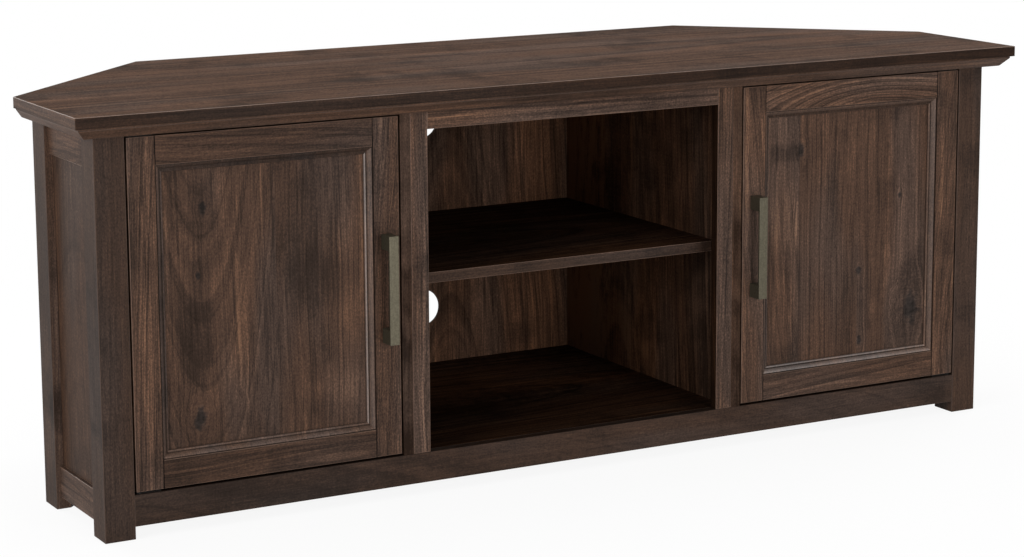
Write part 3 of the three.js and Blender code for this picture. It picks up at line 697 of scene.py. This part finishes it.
# the bead's cove and rim are lit and shaded copies of one wood along the bottom, the right, the top and the left, each
# with its own tone and gloss: the pale ones are painted highlights and the dark ones painted shade; its lip at the
# door's face and the step before its rim are painted shade lines, and the bands are shares of its width
beadLook = {
    "wood": {"axes": "xyz", "figure": 0.35, "warmth": -0.2},
    "seedPastPanel": 30,
    "width": 10.5 * mm,
    "lipEnd": 0.09, "stepStart": 0.54, "rimStart": 0.72,
    "finishes": {"rim": (1.5, 0.95), "grey": (1.1, 0.25), "bright": (1.3, 0.12), "plain": (0.95, 0.1),
                 "dark": (0.5, 0.05)},
    "left": {"coves": ("bright", "grey", "dark", "plain"), "rims": ("bright", "rim", "dark", "plain")},
    "right": {"coves": ("rim", "grey", "plain", "plain"), "rims": ("rim", "bright", "dark", "plain")},
}

# the bead's section from the door's face down to the panel: how far in, and how deep, as shares
beadSection = [
    (0.0, 0.0), (0.05, 0.05), (0.07, 0.06), (0.1, 0.03), (0.16, 0.05), (0.24, 0.1), (0.32, 0.18), (0.39, 0.28),
    (0.45, 0.4), (0.5, 0.52), (0.53, 0.62), (0.55, 0.66), (0.6, 0.68), (0.71, 0.68), (0.73, 0.63), (0.77, 0.61),
    (0.84, 0.61), (0.9, 0.63), (0.94, 0.68), (0.96, 0.76), (0.97, 1.0),
]


# which painted highlight or painted shade a strip of the bead takes
def beadLightAndShade(share, cove, rim):
    if share < beadLook["lipEnd"] or beadLook["stepStart"] < share < beadLook["rimStart"]:
        return "dark"
    return rim if share > beadLook["rimStart"] else cove


# a moulding round an opening, with its corners mitred and a hard line at each mitre
def beadRing(name, nodeName, materials, coves, rims):
    low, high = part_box(nodeName)
    face, seat = low.y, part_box(nodeName.replace("_bead", "_panel"))[0].y
    width = beadLook["width"]
    finishes = list(beadLook["finishes"])
    mesh = bmesh.new()
    corners = [(low.x, low.z, 1, 1), (high.x, low.z, -1, 1), (high.x, high.z, -1, -1), (low.x, high.z, 1, -1)]
    rows = []
    for x, z, inwardX, inwardZ in corners:
        row = [mesh.verts.new((x + inwardX * share * width, face + drop * (seat - face), z + inwardZ * share * width))
               for share, drop in beadSection]
        rows.append([*row, mesh.verts.new((x, seat, z))])
    for i in range(4):
        here, following = rows[i], rows[(i + 1) % 4]
        for j in range(len(here)):
            k = (j + 1) % len(here)
            strip = mesh.faces.new((here[j], here[k], following[k], following[j]))
            share = beadSection[j][0] if j < len(beadSection) else 1.0
            strip.material_index = finishes.index(beadLightAndShade(share, coves[i], rims[i]))
    for row in rows:
        for j in range(len(row)):
            edge = mesh.edges.get((row[j], row[(j + 1) % len(row)]))
            if edge:
                edge.smooth = False
    return finishPiece(mesh, name, materials, bodyOf(nodeName), nodeName)


# the eased edges where a stile meets the rails and the bead are a fine dark line
def darkenJoints(board, joints):
    paintFaces(board, jointLine, lambda face: face.material_index == 1 and any(
        abs(face.center.x - joint) < doorLook["jointReach"] for joint in joints))


for side in ("left", "right"):
    looks = doorLook[side]
    made = {key: walnutMaterial(f"{side}Door{key[0].upper()}{key[1:]}Walnut", looks[key]) for key in looks}
    railLow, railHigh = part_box(f"{side}_door_top_rail")
    for part, key, shape in (("hinge_stile", "hingeStile", boardFromBox), ("lock_stile", "lockStile", boardFromNode),
                             ("top_rail", "topRail", boardFromNode), ("bottom_rail", "bottomRail", boardFromNode)):
        board = shape(f"{side}_door_{part}", made[key], wearAndHighlightArris, "walnut", doorLook["frameEase"])
        darkenJoints(board, (railLow.x, railHigh.x))
    boardFromNode(f"{side}_door_panel", made["panel"], darkArris, "walnut", doorLook["panelEase"])
    # the bead's lit and shaded copies: painted highlights and painted shade
    beadWalnuts = [walnutMaterial(f"{side}{finish.capitalize()}BeadLightAndShadeWalnut", dict(
        beadLook["wood"], seed=looks["panel"]["seed"] + beadLook["seedPastPanel"], tone=tone, gloss=gloss))
        for finish, (tone, gloss) in beadLook["finishes"].items()]
    beadRing(f"{side}_door_bead_moulding", f"{side}_door_bead", beadWalnuts,
             beadLook[side]["coves"], beadLook[side]["rims"])
print("doors done")

# handles, hinges, catches and shelf pins
metalLook = {"handleEase": 0.5 * mm, "leafEase": 0.25 * mm, "screwRadius": 2.6 * mm, "screwRise": 0.245 * mm}


def metalFromNode(nodeName, material, ease, name):
    mesh = nodeMesh(nodeName)
    easeEdges(mesh, ease, sharperThan=shapeLook["metalSharperThan"])
    return finishPiece(mesh, name, [material, material], bodyOf(nodeName), nodeName)


# a ring of corners; at gives each one's place from the cosine and the sine of its angle
def cornerRing(mesh, sides, at):
    angles = [2 * math.pi * i / sides for i in range(sides)]
    return [mesh.verts.new(at(math.cos(angle), math.sin(angle))) for angle in angles]


# the faces between two rings, either of which may be a single corner
def joinRings(mesh, here, following):
    sides = max(len(here), len(following))
    for i in range(sides):
        k = (i + 1) % sides
        corners = (here[i % len(here)], here[k % len(here)],
                   following[k % len(following)], following[i % len(following)])
        mesh.faces.new(tuple(dict.fromkeys(corners)))


# a screw's head: its section from the rim to the top as shares of its radius and rise, and the dimple in its middle
screwLook = {"section": [(1.0, 0.0), (0.97, 0.35), (0.8, 0.72), (0.5, 0.94), (0.22, 1.0)], "dimple": (0.12, 0.2),
             "sides": 20}


# a round screw head whose middle is at a place and which faces a direction
def screw(name, place, facing, body, radius, rise):
    mesh = bmesh.new()
    rows = [cornerRing(mesh, screwLook["sides"],
                       lambda c, s: (radius * share * c, radius * share * s, rise * up))
            for share, up in [*screwLook["section"], screwLook["dimple"]]]
    for here, above in zip(rows, rows[1:]):
        joinRings(mesh, here, above)
    mesh.faces.new(rows[-1])
    mesh.faces.new(list(reversed(rows[0])))
    turn = Vector((0, 0, 1)).rotation_difference(Vector(facing)).to_matrix().to_4x4()
    bmesh.ops.transform(mesh, matrix=Matrix.Translation(Vector(place)) @ turn, verts=mesh.verts)
    return finishPiece(mesh, name, [zincSteel], body)


# a shelf pin is a short round rod with rounded ends: shares of its radius, and how far along they are
pinLook = {"section": [(0.0, 0.0), (0.7, 0.0), (0.9, 0.03), (1.0, 0.07), (1.0, 0.93), (0.92, 0.97), (0.6, 0.995),
                       (0.0, 1.0)], "sides": 32}


def shelfPin(nodeName):
    low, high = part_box(nodeName)
    middle = (low + high) / 2
    radius = (high.z - low.z) / 2
    mesh = bmesh.new()
    rows = []
    for share, along in pinLook["section"]:
        x = low.x + along * (high.x - low.x)
        rows.append(cornerRing(mesh, pinLook["sides"] if share else 1,
                               lambda c, s: (x, middle.y + radius * share * c, middle.z + radius * share * s)))
    for here, following in zip(rows, rows[1:]):
        joinRings(mesh, here, following)
    return finishPiece(mesh, nodeName + "_rod", [zincSteel], bodyOf(nodeName), nodeName)


# a catch is a plastic case with two upright steel plates, which stand proud of its front
catchLook = {"caseBack": 2 * mm, "caseEase": 0.8 * mm, "plateInset": 2.5 * mm, "plateThick": 2.4 * mm,
             "plateShort": 4 * mm, "plateSunk": 1 * mm, "plateEase": 0.3 * mm}


def magneticCatch(side):
    nodeName = f"{side}_magnetic_catch"
    low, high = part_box(nodeName)
    caseFront = low.y + catchLook["caseBack"]
    case = boxMesh((low.x, caseFront, low.z), high)
    easeEdges(case, catchLook["caseEase"], 3)
    finishPiece(case, f"{side}_catch_case", [brownPlastic, brownPlastic], "carcase", nodeName)
    half = catchLook["plateThick"] / 2
    for index, x in enumerate((low.x + catchLook["plateInset"], high.x - catchLook["plateInset"])):
        plate = boxMesh((x - half, low.y, low.z + catchLook["plateShort"]),
                        (x + half, caseFront + catchLook["plateSunk"], high.z - catchLook["plateShort"]))
        easeEdges(plate, catchLook["plateEase"])
        finishPiece(plate, f"{side}_catch_plate_{index + 1}", [zincSteel, zincSteel], "carcase")


for side in ("left", "right"):
    metalFromNode(f"{side}_handle", agedBrass, metalLook["handleEase"], f"{side}_handle_bar")
    for level in ("lower", "upper"):
        for half in ("plate", "socket"):
            nodeName = f"{side}_{level}_hinge_{half}"
            metalFromNode(nodeName, blackSteel, metalLook["leafEase"], nodeName + "_steel")
    magneticCatch(side)
    metalFromNode(f"{side}_strike_plate", zincSteel, metalLook["leafEase"], f"{side}_strike_plate_steel")
    low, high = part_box(f"{side}_strike_plate")
    screw(f"{side}_strike_screw", ((low.x + high.x) / 2, high.y, (low.z + high.z) / 2), (0, 1, 0), f"{side}_door",
          metalLook["screwRadius"], metalLook["screwRise"])
    for place in ("front", "back"):
        shelfPin(f"{place}_{side}_shelf_pin")
print("metal done")

# floor, light and camera; each light has a place, a size and an energy
studio = {
    "white": (1.0, 1.0, 1.0, 1.0),
    "floorSize": 30.0, "floorDrop": 0.5 * mm,
    "shadowShare": 0.1, "shadowNear": 0.75, "shadowFar": 1.5,
    "worldLight": 0.3,
    "aim": (0.0, 0.0, 0.25),
    "lights": {
        "front": ((0.45, -4.2, 0.8), 1.6, 86.0),
        "side": ((-3.6, -1.3, 1.3), 2.0, 96.0),
        "sky": ((0.0, 0.3, 3.4), 3.0, 34.0),
        "right": ((3.7, 1.3, 1.5), 2.2, 80.0),
        "back": ((-1.4, 3.9, 1.4), 2.2, 80.0),
    },
    "lens": 95.58,
    "cameraPlace": (-1.87323, -3.41848, 1.02909),
    "cameraTurn": (-10.193, 0.304, -29.031),
    "cameraShift": -0.06,
}


# one where the camera sees a surface directly, in a gloss or through glass, and nought for the light it sheds
def seenDirectly(tree):
    path = tree.nodes.new("ShaderNodeLightPath")
    either = sums(tree, "MAXIMUM", path.outputs["Is Camera Ray"], path.outputs["Is Glossy Ray"])
    return sums(tree, "MAXIMUM", either, path.outputs["Is Transmission Ray"])


# the floor is white where it is seen, but for a share of the shadow near the cabinet
def floorMaterial():
    material = bpy.data.materials.new("paleFloor")
    material.use_nodes = True
    tree = material.node_tree
    tree.nodes.clear()
    matt = put(tree, "ShaderNodeBsdfDiffuse", None, {"Color": studio["white"]})
    bright = put(tree, "ShaderNodeEmission", None, {"Color": studio["white"], "Strength": 1.0})
    apart = vectors(tree, "LENGTH", put(tree, "ShaderNodeTexCoord", output="Object"), output="Value")
    shadowShare = stepped(tree, apart, studio["shadowNear"], studio["shadowFar"], studio["shadowShare"], 0.0)
    share = sums(tree, "MULTIPLY", seenDirectly(tree), sums(tree, "SUBTRACT", 1.0, shadowShare))
    mixed = put(tree, "ShaderNodeMixShader", None, {0: share, 1: matt, 2: bright})
    out = tree.nodes.new("ShaderNodeOutputMaterial")
    tree.links.new(mixed, out.inputs[0])
    return material


floorMesh = bmesh.new()
bmesh.ops.create_grid(floorMesh, x_segments=1, y_segments=1, size=studio["floorSize"] / 2)
floorData = bpy.data.meshes.new("studioFloor")
floorMesh.to_mesh(floorData)
floorMesh.free()
floor = bpy.data.objects.new("studioFloor", floorData)
floor.location.z = -studio["floorDrop"]
bpy.context.scene.collection.objects.link(floor)
floorData.materials.append(floorMaterial())

world = bpy.data.worlds.new("studioWorld")
bpy.context.scene.world = world
world.use_nodes = True
worldTree = world.node_tree
worldTree.nodes.clear()
background = worldTree.nodes.new("ShaderNodeBackground")
background.inputs["Color"].default_value = studio["white"]
worldTree.links.new(remap(worldTree, seenDirectly(worldTree), 0.0, 1.0, studio["worldLight"], 1.0),
                    background.inputs["Strength"])
worldOut = worldTree.nodes.new("ShaderNodeOutputWorld")
worldTree.links.new(background.outputs[0], worldOut.inputs[0])

for name, (place, size, energy) in studio["lights"].items():
    light = bpy.data.lights.new(f"{name}Light", "AREA")
    light.shape = "SQUARE"
    light.size = size
    light.energy = energy
    lamp = bpy.data.objects.new(f"{name}Light", light)
    bpy.context.scene.collection.objects.link(lamp)
    lamp.location = place
    lamp.rotation_euler = (Vector(studio["aim"]) - Vector(place)).to_track_quat("-Z", "Y").to_euler()

camera = bpy.data.cameras.new("studioCamera")
camera.sensor_width = 36.0
camera.lens = studio["lens"]
camera.shift_y = studio["cameraShift"]
cameraObject = bpy.data.objects.new("studioCamera", camera)
bpy.context.scene.collection.objects.link(cameraObject)
cameraObject.location = studio["cameraPlace"]
pitch, roll, yaw = (math.radians(a) for a in studio["cameraTurn"])
cameraObject.rotation_euler = (math.pi / 2 + pitch, roll, yaw)
bpy.context.scene.camera = cameraObject
bpy.context.scene.view_settings.view_transform = "Standard"
print("floor, light and camera done")
